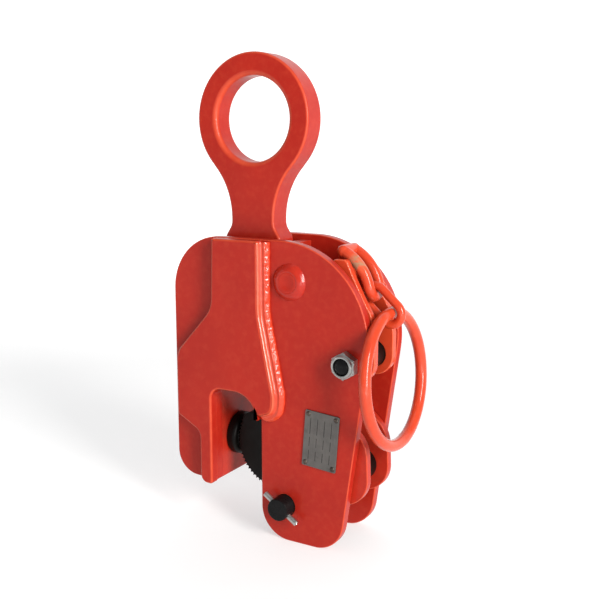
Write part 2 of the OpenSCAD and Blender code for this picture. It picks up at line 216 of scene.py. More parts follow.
class Shape:
    """Vertices, faces, normals and edge mask of a piece made of several parts; the mask drives chips, rubbed
    spots and a painted highlight along edges.
    """

    def __init__(self):
        self.verts, self.faces, self.normals, self.edge = [], [], [], []

    def add(self, verts, faces, normals=None, edge=None):
        base = len(self.verts)
        self.verts += [Vector(v) for v in verts]
        self.faces += [[base + i for i in f] for f in faces]
        self.normals += [Vector(n) for n in normals] if normals is not None else [None] * len(verts)
        self.edge += list(edge) if edge is not None else [0.0] * len(verts)

    def prism(self, loops, y0, y1, radii, seg=5):
        """Plate between y0 and y1 with its edges rounded. radii is one radius, or a list that holds for each
        outline a radius or a pair of arrays: the radius of each point on the y0 side and on the y1 side."""
        verts, normals, edge, faces, first, last = [], [], [], [], [], []
        radii = [radii] * len(loops) if isinstance(radii, float) else radii
        for p, r in zip(loops, radii):
            pair = (np.full(len(p), r), np.full(len(p), r)) if isinstance(r, float) else r
            step, unit = inward(p)
            n, base = len(p), len(verts)
            rings = [(k, -1) for k in range(seg + 1)] + [(k, 1) for k in range(seg, -1, -1)]
            for k, side in rings:
                a = k / seg * math.pi / 2
                rr = pair[0] if side < 0 else pair[1]
                flat = p + step * (rr * (1 - math.sin(a)))[:, None]
                deep = (y0 if side < 0 else y1) - side * rr * (1 - math.cos(a))
                verts += [Vector((x, y, z)) for (x, z), y in zip(flat, deep)]
                lean, tip = math.sin(a), side * math.cos(a)
                normals += [Vector((-u[0] * lean, tip, -u[1] * lean)) for u in unit]
                edge += [math.sin(2 * a)] * n
            for ring in range(len(rings) - 1):
                for i in range(n):
                    j = (i + 1) % n
                    a, b = base + ring * n, base + (ring + 1) * n
                    faces.append([a + i, a + j, b + j, b + i])
            first.append(list(range(base, base + n)))
            last.append(list(range(base + (len(rings) - 1) * n, base + len(rings) * n)))
        for cap in (first, last):
            flat = [i for ring in cap for i in ring]
            outlines = [[Vector((verts[i].x, verts[i].z, 0)) for i in ring] for ring in cap]
            for tri in tessellate_polygon(outlines):
                faces.append([flat[i] for i in tri])
        self.add(verts, faces, normals, edge)

    def lathe(self, profile, centre, axis, count=64, radius=None, spin=0.0):
        """Surface turned about axis through centre. profile is [(radius, height)] from one end to the other.
        radius(angle, r, h), if given, changes each radius."""
        axis = Vector(axis).normalized()
        side = axis.orthogonal().normalized() if abs(axis.y) < 0.9 else Vector((1, 0, 0))
        other = axis.cross(side)
        verts, faces, rows = [], [], []
        for r, h in profile:
            if r < 1e-7:
                rows.append([len(verts)])
                verts.append(Vector(centre) + axis * h)
                continue
            rows.append(list(range(len(verts), len(verts) + count)))
            for i in range(count):
                a = 2 * math.pi * i / count + spin
                rr = radius(a, r, h) if radius else r
                verts.append(Vector(centre) + axis * h + side * rr * math.cos(a) + other * rr * math.sin(a))
        for one, two in zip(rows, rows[1:]):
            for i in range(count):
                j = (i + 1) % count
                if len(one) == 1 and len(two) > 1:
                    faces.append([one[0], two[i], two[j]])
                elif len(two) == 1 and len(one) > 1:
                    faces.append([one[i], one[j], two[0]])
                elif len(one) > 1:
                    faces.append([one[i], one[j], two[j], two[i]])
        self.add(verts, faces)

    def tube(self, path, radius, count=20, closed=False):
        """Round wire along path. radius is a number or a function of the share of the length."""
        path = [Vector(p) for p in path]
        n = len(path)
        ahead = [(path[(i + 1) % n] - path[i - 1]) if closed
                 else path[min(i + 1, n - 1)] - path[max(i - 1, 0)] for i in range(n)]
        ahead = [d.normalized() for d in ahead]
        side = ahead[0].orthogonal().normalized()
        sides = [side]
        for i in range(1, n):
            side = side - ahead[i] * side.dot(ahead[i])
            side.normalize()
            sides.append(side)
        if closed:
            back = sides[-1] - ahead[0] * sides[-1].dot(ahead[0])
            twist = math.atan2(back.cross(sides[0]).dot(ahead[0]), back.dot(sides[0]))
            sides = [Matrix.Rotation(twist * i / n, 3, ahead[i]) @ s for i, s in enumerate(sides)]
        verts, faces = [], []
        for i in range(n):
            r = radius(i / n) if callable(radius) else radius
            up = ahead[i].cross(sides[i])
            for k in range(count):
                a = 2 * math.pi * k / count
                verts.append(path[i] + sides[i] * r * math.cos(a) + up * r * math.sin(a))
        for i in range(n if closed else n - 1):
            for k in range(count):
                a, b = i * count, (i + 1) % n * count
                j = (k + 1) % count
                faces.append([a + k, a + j, b + j, b + k])
        if not closed:
            for end, way in ((0, -1), (n - 1, 1)):
                r = radius(end / n) if callable(radius) else radius
                tip = len(verts)
                verts.append(path[end] + ahead[end] * way * r * 0.35)
                for k in range(count):
                    faces.append([end * count + k, end * count + (k + 1) % count, tip])
        self.add(verts, faces)

    def build(self, name, body, material, replaces=(), crease=35):
        """Makes the piece, with the prism's own normals where every part has them."""
        custom = None if None in self.normals else self.normals
        return piece(name, self.verts, self.faces, body, material, replaces, custom, self.edge, crease)


# ---------- materials ----------

def rgba(r, g, b):
    return (r, g, b, 1.0)


class Finish:
    """A new material, with short ways to add nodes to it."""

    def __init__(self, name):
        self.material = bpy.data.materials.new(name)
        self.material.use_nodes = True
        self.tree = self.material.node_tree
        self.tree.nodes.clear()
        self.coords = self.tree.nodes.new("ShaderNodeTexCoord").outputs["Object"]

    def feed(self, socket, value):
        """Links a node's output to the socket, or sets the socket's value."""
        if hasattr(value, "is_output"):
            self.tree.links.new(value, socket)
        else:
            socket.default_value = value

    def add(self, kind, **sockets):
        n = self.tree.nodes.new(kind)
        for key, value in sockets.items():
            self.feed(n.inputs[key.replace("_", " ")], value)
        return n

    def cloud(self, scale, detail=3.0, rough=0.5, distort=0.0, place=None):
        return self.add("ShaderNodeTexNoise", Vector=place or self.coords, Scale=scale, Detail=detail,
                        Roughness=rough, Distortion=distort).outputs["Fac"]

    def stretched(self, scale):
        return self.add("ShaderNodeMapping", Vector=self.coords, Scale=scale).outputs["Vector"]

    def edge_wear_and_sheen(self):
        """How near a point is to a rounded edge or a rubbed patch, as piece() stored it. It drives chips and
        rubbing, and in enamel a pale mix that is partly thinner paint and partly a painted highlight.
        """
        n = self.tree.nodes.new("ShaderNodeAttribute")
        n.attribute_name = "edge"
        return n.outputs["Fac"]

    def ramp(self, fac, lo, hi, a=0.0, b=1.0):
        n = self.add("ShaderNodeMapRange", Value=fac, From_Min=lo, From_Max=hi, To_Min=a, To_Max=b)
        return n.outputs["Result"]

    def maths(self, op, a, b):
        n = self.tree.nodes.new("ShaderNodeMath")
        n.operation = op
        self.feed(n.inputs[0], a)
        self.feed(n.inputs[1], b)
        return n.outputs[0]

    def blend(self, fac, a, b):
        n = self.tree.nodes.new("ShaderNodeMix")
        n.data_type = "RGBA"
        for socket, value in ((0, fac), (6, a), (7, b)):
            self.feed(n.inputs[socket], value)
        return n.outputs[2]

    def bump(self, height, distance, strength=1.0, normal=None):
        n = self.add("ShaderNodeBump", Height=height, Distance=distance, Strength=strength)
        if normal is not None:
            self.feed(n.inputs["Normal"], normal)
        return n.outputs["Normal"]

    def done(self, colour, roughness, normal, **fixed):
        """Adds the shader and the output, and gives the material."""
        shader = self.add("ShaderNodeBsdfPrincipled", Base_Color=colour, Roughness=roughness, Normal=normal,
                          **fixed)
        self.feed(self.tree.nodes.new("ShaderNodeOutputMaterial").inputs[0], shader.outputs[0])
        return self.material


def enamel(name, base, deep, pale, peel=1.0, gloss=0.28, brown_cloud_amount=0.0, bare=0.0, coat=0.1):
    """Sprayed enamel: clouds of thicker and thinner paint, orange peel, small chips, and edges mixed towards
    pale, partly for thinner paint and partly as a painted highlight.
    One amount adds dark brown cloudy patches, and bare adds rubbed metal, both from 0 to 1."""
    f = Finish(name)
    edge = f.edge_wear_and_sheen()
    colour = f.blend(f.ramp(f.cloud(22, 4, 0.6), 0.35, 0.7), rgba(*base), rgba(*deep))
    colour = f.blend(f.ramp(f.cloud(260, 2), 0.45, 0.75, 0, 0.1), colour, rgba(*pale))
    # Pale mix along rounded edges, in patches: partly thinner paint, partly a painted highlight.
    patchy_thin_paint_and_sheen = f.maths("MULTIPLY", edge, f.ramp(f.cloud(95, 5, 0.65), 0.35, 0.65))
    thin_paint_and_sheen = f.maths("ADD", f.maths("MULTIPLY", patchy_thin_paint_and_sheen, 0.5), edge)
    colour = f.blend(f.maths("MULTIPLY", thin_paint_and_sheen, 0.42), colour, rgba(*pale))
    chips = f.maths("MULTIPLY", f.ramp(edge, 0.55, 0.9), f.ramp(f.cloud(330, 4, 0.7), 0.69, 0.73))
    colour = f.blend(chips, colour, rgba(0.05, 0.03, 0.025))
    specks = f.ramp(f.cloud(900, 1), 0.77, 0.79)
    colour = f.blend(f.maths("MULTIPLY", specks, 0.3), colour, rgba(0.12, 0.02, 0.012))
    # Dark brown cloudy patches over the whole surface.
    if brown_cloud_amount:
        brown_cloud_mask = f.maths("MULTIPLY", f.ramp(f.cloud(48, 6, 0.7, 0.6), 0.5, 0.68), brown_cloud_amount)
        colour = f.blend(brown_cloud_mask, colour, rgba(0.075, 0.035, 0.02))
    if bare:
        rubbed = f.maths("MULTIPLY", f.ramp(edge, 0.35, 0.8), f.ramp(f.cloud(170, 5, 0.65, 0.5), 0.44, 0.56))
        colour = f.blend(f.maths("MULTIPLY", rubbed, bare), colour, rgba(0.30, 0.20, 0.115))
    smooth = f.ramp(f.cloud(60, 4), 0.3, 0.7, gloss, gloss + 0.12)
    rough = f.maths("ADD", smooth, f.maths("MULTIPLY", chips, 0.3))
    normal = f.bump(f.cloud(16, 2), 0.0007, 0.3)
    normal = f.bump(f.cloud(190, 2), 0.0001 * peel, 0.5, normal)
    normal = f.bump(f.cloud(820, 2), 0.00002 * peel, 0.6, normal)
    normal = f.bump(chips, -0.00006, 0.6, normal)
    return f.done(colour, rough, normal, Specular_IOR_Level=0.14, Coat_Weight=coat, Coat_Roughness=0.12)


def blackened(name, base, gloss, shine):
    """Oil-blackened steel: sooty clouds, rubbed bright edges, fine grinding marks."""
    f = Finish(name)
    colour = f.blend(f.ramp(f.cloud(70, 5, 0.6), 0.35, 0.7), rgba(*base), rgba(*(v * 2.6 for v in base)))
    rubbed = f.maths("MULTIPLY", f.ramp(f.edge_wear_and_sheen(), 0.3, 0.95), f.ramp(f.cloud(210, 5, 0.7), 0.48, 0.68))
    colour = f.blend(f.maths("MULTIPLY", rubbed, 0.6), colour, rgba(0.075, 0.07, 0.065))
    rough = f.ramp(f.cloud(130, 4), 0.3, 0.7, gloss - 0.07, gloss + 0.13)
    grinding = f.cloud(1.0, 2.0, place=f.stretched((40, 900, 900)))
    normal = f.bump(f.cloud(420, 3), 0.00003, 0.7, f.bump(grinding, 0.00002, 0.5))
    return f.done(colour, rough, normal, Metallic=shine, Specular_IOR_Level=0.13)


def bright_metal(name, base, dull, gloss, brushed=(60, 60, 1400)):
    """Plated or brushed metal: spangled clouds, brush lines, dull stains."""
    f = Finish(name)
    colour = f.blend(f.ramp(f.cloud(150, 5, 0.6), 0.38, 0.68), rgba(*base), rgba(*dull))
    stains = f.ramp(f.cloud(75, 6, 0.7, 0.8), 0.58, 0.75, 0, 0.5)
    colour = f.blend(stains, colour, rgba(*(v * 0.45 for v in dull)))
    lines = f.cloud(1.0, 3.0, place=f.stretched(brushed))
    rough = f.maths("ADD", f.ramp(lines, 0.3, 0.7, gloss, gloss + 0.1), f.maths("MULTIPLY", stains, 0.3))
    normal = f.bump(f.cloud(500, 3), 0.00002, 0.5, f.bump(lines, 0.000012, 0.6))
    return f.done(colour, rough, normal, Metallic=0.92)


BASE, DEEP, PALE = (0.40, 0.0178, 0.0083), (0.34, 0.0138, 0.0074), (0.66, 0.10, 0.042)
# Brighter, more orange copy of the plates' enamel for the lever, bail, chain link and ring: painted light.
LIT_RING_TONES = (0.57, 0.055, 0.018), (0.50, 0.040, 0.015), (0.70, 0.13, 0.055)
INSIDE = (0.45, 0.024, 0.0105), (0.37, 0.02, 0.01), PALE
# Brighter, more orange copy of the plates' enamel for the weld beads: painted light.
LIT_WELD_TONES = (0.58, 0.048, 0.016), (0.52, 0.036, 0.014), (0.76, 0.19, 0.09)
PAINT = enamel("orange_enamel", BASE, DEEP, PALE)
PAINT_MOUTH = enamel("orange_enamel_inside", *INSIDE, brown_cloud_amount=0.35)
PAINT_WELD = enamel("weld_enamel", *LIT_WELD_TONES, 1.3, 0.13, coat=0.6)
PAINT_STAY = enamel("stay_enamel", BASE, DEEP, PALE, 1.2, 0.18, coat=0.35)
PAINT_RING = enamel("ring_enamel", *LIT_RING_TONES, 0.6, 0.18, coat=0.4)
PAINT_BAIL = enamel("bail_enamel", *LIT_RING_TONES, 0.8, 0.2, bare=0.85, coat=0.35)
BLACK = blackened("hardened_black_finish", (0.0022, 0.0019, 0.0016), 0.36, 0.08)
BLACK_PIN = blackened("black_pin_finish", (0.004, 0.004, 0.0042), 0.2, 0.2)
ZINC = bright_metal("zinc_plate_finish", (0.44, 0.44, 0.425), (0.32, 0.32, 0.31), 0.26, (60, 60, 500))
NAME_METAL = bright_metal("etched_aluminium", (0.165, 0.155, 0.145), (0.135, 0.127, 0.12), 0.45,
                          (1500, 60, 90))
RIVET_METAL = bright_metal("aged_rivet_metal", (0.12, 0.10, 0.085), (0.06, 0.05, 0.042), 0.4)
INK = blackened("etched_rule_ink", (0.02, 0.019, 0.018), 0.6, 0.0)


# ---------- plates ----------

def plate(name, node, body, material, radius):
    """Piece with the outline of the CAD node's middle cut, and with rounded edges."""
    y0, y1 = box_y(node)
    s = Shape()
    s.prism(section(node, (y0 + y1) / 2), y0, y1, radius)
    s.build(name, body, material, [node])


def lifting_eye():
    """Forged eye: its outline and its two holes have edges of their own."""
    y0, y1 = box_y("lifting_eye")
    s = Shape()
    s.prism(section("lifting_eye", 0.0), y0, y1, [1.5 * MM, 3.2 * MM, 0.6 * MM], 7)
    s.build("eye_forging", "eye", PAINT, ["lifting_eye"])


def flush_radii(p, other, flush, free):
    """Edge radius of each point of outline p: flush where p runs along the outline other, else free."""
    ahead = np.roll(other, -1, 0) - other
    out = []
    for point in p:
        share = np.clip(np.sum((point - other) * ahead, 1) / np.sum(ahead * ahead, 1), 0, 1)
        gap = np.min(np.linalg.norm(other + share[:, None] * ahead - point, axis=1))
        out.append(flush if gap < 0.25 * MM else free)
    return np.array(out)


def shell_plates(side, way):
    """Side plate and its hook plate. Edges stay sharp where the two, or the jaw block, meet flush."""
    hook, sheet = f"{side}_hook_plate", f"{side}_side_plate"
    sharp, soft, hole, raised = 0.06 * MM, 0.8 * MM, 0.6 * MM, 1.5 * MM
    y0, y1 = box_y(sheet)
    out_at = y1 if way > 0 else y0
    sheet_loops = section(sheet, out_at - way * 1 * MM)
    hook_loop = section(hook, out_at + way * 3 * MM)[0]
    outer = flush_radii(sheet_loops[0], hook_loop, sharp, soft)
    inner = flush_radii(sheet_loops[0], section("jaw_block", 16 * MM)[0], sharp, soft)
    s = Shape()
    s.prism(sheet_loops, y0, y1, [(outer, inner)[::-way]] + [hole] * (len(sheet_loops) - 1))
    s.build(f"{side}_side_plate_painted", "shell", PAINT, [sheet])
    outer, inner = np.full(len(hook_loop), raised), np.full(len(hook_loop), sharp)
    s = Shape()
    s.prism([hook_loop], *box_y(hook), [(outer, inner)[::-way]])
    s.build(f"{side}_hook_plate_painted", "shell", PAINT, [hook])


def soften(node, material, radius):
    """Keeps a CAD node's shape, rounds its edges and gives it a material."""
    o = frame["nodes"][node]
    o.data.materials.clear()
    o.data.materials.append(material)
    weld = o.modifiers.new("joined", "WELD")
    weld.merge_threshold = 2e-6
    soft = o.modifiers.new("edges", "BEVEL")
    soft.width, soft.segments, soft.limit_method, soft.angle_limit = radius, 3, "ANGLE", math.radians(40)
    soft.harden_normals = True


lifting_eye()
for side, way in (("near", -1), ("far", 1)):
    shell_plates(side, way)
    plate(f"{side}_link_plate_painted", f"{side}_link_plate", "links", PAINT_MOUTH, 0.7 * MM)
plate("nameplate_blank", "nameplate", "shell", NAME_METAL, 0.22 * MM)
plate("cam_toothed", "cam", "cam", BLACK, 0.3 * MM)
soften("jaw_block", PAINT_MOUTH, 0.12 * MM)
for guide in ("left_guide_block", "right_guide_block"):
    soften(guide, PAINT_MOUTH, 0.6 * MM)
for spacer in ("cam_spacers", "lever_spacer"):
    soften(spacer, BLACK, 0.4 * MM)
for turned in ("eye_pin", "link_pin"):
    soften(turned, BLACK_PIN, 0.5 * MM)
for turned in ("spring_anchor_pin", "lever_spring_pin"):
    soften(turned, BLACK_PIN, 0.3 * MM)
soften("eye_pin_collars", ZINC, 0.4 * MM)
soften("jaw_retaining_pin", ZINC, 0.2 * MM)


# ---------- swivel jaw ----------

def swivel_jaw():
    """Turned pad on a shank, with rings cut into its face for grip."""
    lo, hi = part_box("swivel_jaw")
    at = joint_at("jaw_swivel")
    pad_r, face, shank_end, shank_r = (hi.z - lo.z) / 2, hi.x - at.x, lo.x - at.x, 6 * MM
    rim = [(0.0, shank_end), (shank_r - 0.4 * MM, shank_end), (shank_r, shank_end + 0.4 * MM),
           (shank_r, 0.2 * MM), (pad_r - 1.4 * MM, 0.4 * MM), (pad_r - 0.5 * MM, 0.55 * MM),
           (pad_r, 1.2 * MM), (pad_r, 1.9 * MM)]
    rim += [(pad_r - 2.6 * MM * (1 - math.cos(a)), face - 2.8 * MM * (1 - math.sin(a))) for a in QUARTER]
    r, innermost, spacing, depth = pad_r - 3.0 * MM, 1.4 * MM, 1.5 * MM, 0.62 * MM
    while r > innermost:
        rim += [(r, face), (r - 0.45 * MM, face - depth), (r - 0.75 * MM, face - depth), (r - 1.2 * MM, face)]
        r -= spacing
    rim.append((0.0, face - 0.6 * MM))
    s = Shape()
    s.lathe(rim, at, (1, 0, 0), 96)
    s.build("swivel_jaw_turned", "swivel_jaw", BLACK, ["swivel_jaw"], 30)


swivel_jaw()


# ---------- welds ----------

# Across a bead: the share of the way from its toe to its crest, then the distance from the hook plate's edge
# and the height above the side plate, both in mm. A broad ridge, a groove and a thin crest.
BEAD = [(0, 5.25, -0.05), (0.08, 5.4, 0.7), (0.16, 5.3, 1.45), (0.46, 3.75, 3.4), (0.54, 3.2, 3.6),
        (0.64, 2.5, 3.4), (0.74, 1.75, 3.4), (0.84, 1.1, 4.0), (0.92, 0.55, 5.0), (0.97, 0.2, 5.65),
        (1, -0.1, 5.85)]


def bead_line(node):
    """The weld's path along a hook plate's right edge, evenly spaced, and the length up to each point."""
    p = section(node, sum(box_y(node)) / 2)[0]
    lo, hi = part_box(node.replace("hook_plate", "weld_bead"))
    top = int(np.argmin(np.linalg.norm(p - np.array([lo.x + 0.4 * MM, hi.z + 0.2 * MM]), axis=1)))
    low = int(np.argmin(np.linalg.norm(p - np.array([lo.x - 0.2 * MM, lo.z]), axis=1)))
    last = low if low < top else low - len(p)
    run = [p[i % len(p)] for i in range(top, last - 1, -1)]
    run = np.array([q for q in run if q[0] > lo.x + 1.7 * MM or q[1] > lo.z + 10 * MM])
    span = np.concatenate([[0], np.cumsum(np.linalg.norm(np.diff(run, axis=0), axis=1))])
    t = np.linspace(0, span[-1], int(span[-1] / (0.42 * MM)))
    even = np.stack([np.interp(t, span, run[:, 0]), np.interp(t, span, run[:, 1])], 1)
    for _ in range(4):
        even[1:-1] = (even[:-2] + 2 * even[1:-1] + even[2:]) / 4
    return even, t


def bead_point(u, run, left, seed):
    """Distance and height, in mm, at share u across a bead, run mm from its top and left mm from its foot."""
    share, far, high = zip(*BEAD)
    ridge = math.exp(-((u - 0.32) / 0.17) ** 2)
    calm = min(1.0, left / 22)
    nose = math.sqrt(max(0.0, 1 - (1 - min(left / 4.0, 1)) ** 2))
    slow, quick = noise.noise(Vector((seed, u * 2, run * 0.4))), noise.noise(Vector((seed, u * 5, run * 0.8)))
    push = (0.1 + 0.65 * ridge * calm) * (slow * 0.6 + quick * 0.4)
    toe = (1 - u) ** 3 * 0.35 * noise.noise(Vector((seed + 5, 0, run * 0.35)))
    x = (float(np.interp(u, share, far)) + push * 0.72 + toe) * (0.35 + 0.65 * nose)
    y = float(np.interp(u, share, high)) + push * 0.6 * math.sin(math.pi * min(1, u + 0.1))
    return x, min(BEAD[-1][2], y)


def weld_bead(side, way, seed):
    """Weld with a thin crest along the hook plate, a groove and a wrinkled ridge, rounded off at its foot."""
    node, across = f"{side}_hook_plate", 24
    sheet = box_y(node)[0 if way > 0 else 1]
    line, t = bead_line(node)
    n, row = len(line), across + 2
    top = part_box(node)[1].z - 0.7 * MM
    d = np.gradient(line, axis=0)
    d /= np.linalg.norm(d, axis=1)[:, None]
    out = np.stack([-d[:, 1], d[:, 0]], 1)
    verts = []
    for i in range(n):
        points = [bead_point(k / across, t[i] / MM, (t[-1] - t[i]) / MM, seed) for k in range(across + 1)]
        for x, y in points + [(-0.7, -0.3)]:
            at = line[i] + out[i] * x * MM
            verts.append(Vector((at[0], sheet + way * y * MM, min(at[1], top))))
    faces = [[i * row + k, i * row + (k + 1) % row, (i + 1) * row + (k + 1) % row, (i + 1) * row + k]
             for i in range(n - 1) for k in range(row)]
    faces += [list(range(row)), list(range((n - 1) * row, n * row))]
    # A narrow line along the crest is mixed towards pale: a painted highlight line; the same mask sets chips
    # there.
    edge = [0.7 * math.exp(-((min(k, across) / across - 0.96) / 0.05) ** 2) for k in range(row)] * n
    s = Shape()
    s.add(verts, faces, None, edge)
    s.build(f"{side}_hook_weld", "shell", PAINT_WELD, [f"{side}_weld_bead"], 70)


def lumpy(scale, size, seed):
    """Radius for Shape.lathe() that wanders by size."""
    def radius(a, r, h):
        v = Vector((math.cos(a) * r * scale, math.sin(a) * r * scale, h * scale + seed))
        return r + size * noise.noise(v)
    return radius


def cross_stay():
    """Bar with slightly dished ends, and the ring-shaped weld round each end."""
    at = middle("cross_stay")
    lo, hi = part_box("cross_stay")
    r, end = (hi.x - lo.x) / 2, (hi.y - lo.y) / 2
    dish = [(0.0, -end + 0.45 * MM), (2.2 * MM, -end + 0.42 * MM), (3.4 * MM, -end + 0.25 * MM),
            (4.8 * MM, -end + 0.06 * MM), (5.6 * MM, -end + 0.02 * MM), (r, -end + 0.12 * MM)]
    bar = Shape()
    bar.lathe(dish + [(r, -h) for r, h in reversed(dish)], at, (0, 1, 0), 72)
    bar.build("stay_bar", "shell", PAINT, ["cross_stay"], 50)
    lo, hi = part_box("stay_weld_rings")
    toe_r, sheet = (hi.x - lo.x) / 2, abs(box_y("near_side_plate")[0])
    profile = [(r - 0.6 * MM, 2.4 * MM), (r - 0.2 * MM, 3.05 * MM), (r + 0.5 * MM, 3.17 * MM),
               (r + 1.4 * MM, 2.95 * MM), (r + 2.4 * MM, 2.4 * MM), (r + 3.4 * MM, 1.6 * MM),
               (toe_r - 0.9 * MM, 0.75 * MM), (toe_r - 0.25 * MM, 0.25 * MM), (toe_r, -0.3 * MM),
               (r - 0.3 * MM, -0.4 * MM), (r - 0.6 * MM, 2.4 * MM)]
    rings = Shape()
    for way in (-1, 1):
        rings.lathe(profile, (at.x, way * sheet, at.z), (0, way, 0), 96, lumpy(110, 0.35 * MM, way))
    rings.build("stay_ring_welds", "shell", PAINT_STAY, ["stay_weld_rings"], 60)


weld_bead("near", -1, 0.0)
weld_bead("far", 1, 3.0)
cross_stay()


# ---------- bolt, nut and pins ----------

LEVER_AT = joint_at("lever_turn")
FAR_OUT = box_y("far_side_plate")[1]
NUT_LO, NUT_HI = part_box("lever_nut")
FLATS = NUT_HI.z - NUT_LO.z
CORNER = FLATS / 2 / math.cos(math.pi / 6)
SHANK = 5 * MM


def hexagon(a, r, h):
    """Radius of the hexagon's side at angle a, no larger than the chamfer's radius r."""
    b = (a + math.pi / 6) % (math.pi / 3) - math.pi / 6
    return min(FLATS / 2 / math.cos(b), r)


def lever_nut():
    """Lock nut: chamfered hexagon with a round collar."""
    t = NUT_HI.y - NUT_LO.y
    hex_t, collar = t - 1.7 * MM, FLATS / 2 - 0.55 * MM
    profile = [(SHANK, 0.1 * MM), (FLATS / 2 - 0.3 * MM, 0.1 * MM), (CORNER, 0.75 * MM),
               (CORNER + 0.2 * MM, 1.2 * MM), (CORNER + 0.2 * MM, hex_t - 1.2 * MM),
               (CORNER - 0.1 * MM, hex_t - 0.75 * MM), (FLATS / 2 + 0.1 * MM, hex_t - 0.15 * MM),
               (FLATS / 2 - 0.45 * MM, hex_t), (collar, hex_t + 0.15 * MM), (collar, t - 0.7 * MM),
               (collar - 0.25 * MM, t - 0.25 * MM), (collar - 0.8 * MM, t), (SHANK + 0.05 * MM, t - 0.1 * MM),
               (SHANK, t - 0.4 * MM), (SHANK, 0.1 * MM)]
    s = Shape()
    s.lathe(profile, (LEVER_AT.x, NUT_HI.y, LEVER_AT.z), (0, -1, 0), 144, hexagon, 0.21)
    s.build("lever_lock_nut", "shell", ZINC, ["lever_nut"], 22)


def lever_bolt():
    """Hexagon head on the far side and a stem whose threaded end is rounded off."""
    lo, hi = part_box("lever_bolt")
    at, head_t, tip = (LEVER_AT.x, FAR_OUT, LEVER_AT.z), hi.y - FAR_OUT, FAR_OUT - lo.y
    head = [(0.0, -head_t + 0.1 * MM), (FLATS / 2 - 0.8 * MM, -head_t + 0.05 * MM),
            (FLATS / 2 - 0.3 * MM, -head_t + 0.15 * MM), (CORNER, -head_t + 0.75 * MM),
            (CORNER + 0.2 * MM, -head_t + 1.1 * MM), (CORNER + 0.2 * MM, -0.3 * MM),
            (CORNER - 0.2 * MM, -0.05 * MM), (SHANK, 0.0)]
    crest, root, pitch, round_h = SHANK - 0.02 * MM, SHANK - 0.38 * MM, 1.0 * MM, 2.3 * MM
    h = tip - 13 * MM
    stem = [(crest, -0.2 * MM), (crest, h)]
    while h < tip - round_h - 0.6 * MM:
        stem += [(root, h + pitch * 0.35), (crest, h + pitch * 0.8), (crest, h + pitch)]
        h += pitch
    stem += [((SHANK - 0.12 * MM) * math.cos(a), tip - round_h * (1 - math.sin(a))) for a in QUARTER]
    s = Shape()
    s.lathe(head, at, (0, -1, 0), 144, hexagon)
    s.lathe(stem, at, (0, -1, 0), 72)
    s.build("lever_bolt_turned", "shell", BLACK_PIN, ["lever_bolt"], 38)


def cam_pin():
    """Turned pin: its rounded end stands out on the near side, its head lies on the far side plate."""
    lo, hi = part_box("cam_pin")
    at = joint_at("cam_turn")
    r, head_r, tip = 6.8 * MM, (hi.x - lo.x) / 2, hi.y - lo.y
    head = tip - (hi.y - FAR_OUT)
    profile = [(0.0, 0.15 * MM), (r - 2.6 * MM, 0.1 * MM), (r - 1.0 * MM, 0.0), (r - 0.3 * MM, 0.25 * MM),
               (r, 1.0 * MM), (r, head), (head_r - 0.5 * MM, head), (head_r, head + 0.5 * MM),
               (head_r, tip - 1.3 * MM), (head_r - 0.5 * MM, tip - 0.4 * MM),
               (head_r - 1.6 * MM, tip - 0.05 * MM), (0.0, tip)]
    s = Shape()
    s.lathe(profile, (at.x, lo.y, at.z), (0, 1, 0), 96)
    s.build("cam_pin_turned", "shell", BLACK_PIN, ["cam_pin"], 32)


def cam_spring_pin():
    """Slotted tube whose ends stand out of the cam pin."""
    mid, tilt = middle("cam_spring_pin"), math.radians(34)
    along = Vector((math.cos(tilt), 0, -math.sin(tilt)))
    across = along.cross(Y_AXIS)
    half, tube_r, bore_r, slot, around = 13.2 * MM, 1.7 * MM, 0.95 * MM, 0.28, 29
    stations = [(-half, 0.3), (-half + 0.12 * MM, 0.1), (-half + 0.45 * MM, 0.0)]
    stations += [(x, 0.0) for x in np.linspace(-half + 1.5 * MM, half - 1.5 * MM, 12)]
    stations += [(-x, cut) for x, cut in reversed(stations[:3])]
    angles = math.pi / 2 + np.linspace(slot, 2 * math.pi - slot, around)
    verts, faces, row = [], [], 2 * around
    for x, cut in stations:
        for r, turn in ((tube_r - cut * MM, angles), (bore_r + cut * 0.3 * MM, angles[::-1])):
            verts += [mid + along * x + Y_AXIS * r * math.sin(a) + across * r * math.cos(a) for a in turn]
    for i in range(len(stations) - 1):
        for k in range(row):
            j = (k + 1) % row
            faces.append([i * row + k, i * row + j, (i + 1) * row + j, (i + 1) * row + k])
    for base in (0, (len(stations) - 1) * row):
        for k in range(around - 1):
            faces.append([base + k, base + k + 1, base + row - 2 - k, base + row - 1 - k])
    s = Shape()
    s.add(verts, faces)
    s.build("cam_spring_pin_rolled", "shell", ZINC, ["cam_spring_pin"], 40)


lever_nut()
lever_bolt()
cam_pin()
cam_spring_pin()


# ---------- nameplate ----------

def on_name(x, z, out=0.0):
    """Point on the nameplate's face, from x and z in mm along its own tilted sides."""
    mid, tilt = middle("nameplate"), Matrix.Rotation(math.radians(4.5), 4, "Y")
    return Vector((mid.x, box_y("nameplate")[0] - out * MM, mid.z)) + tilt @ Vector((x * MM, 0, z * MM))


def rivet_heads():
    """Four domed heads, each with a small dimple."""
    s = Shape()
    half_w, half_h, inset = 11.2, 17.0, 2.2
    dome = [(1.5, -0.1), (1.5, 0.12), (1.32, 0.3), (1.1, 0.5), (0.75, 0.68), (0.4, 0.72), (0.28, 0.55),
            (0.0, 0.5)]
    for sx in (-1, 1):
        for sz in (-1, 1):
            at = on_name(sx * (half_w - inset), sz * (half_h - inset))
            s.lathe([(r * MM, h * MM) for r, h in dome], at, (0, -1, 0), 28)
    s.build("nameplate_rivet_heads", "shell", RIVET_METAL, ["nameplate_rivets"], 50)


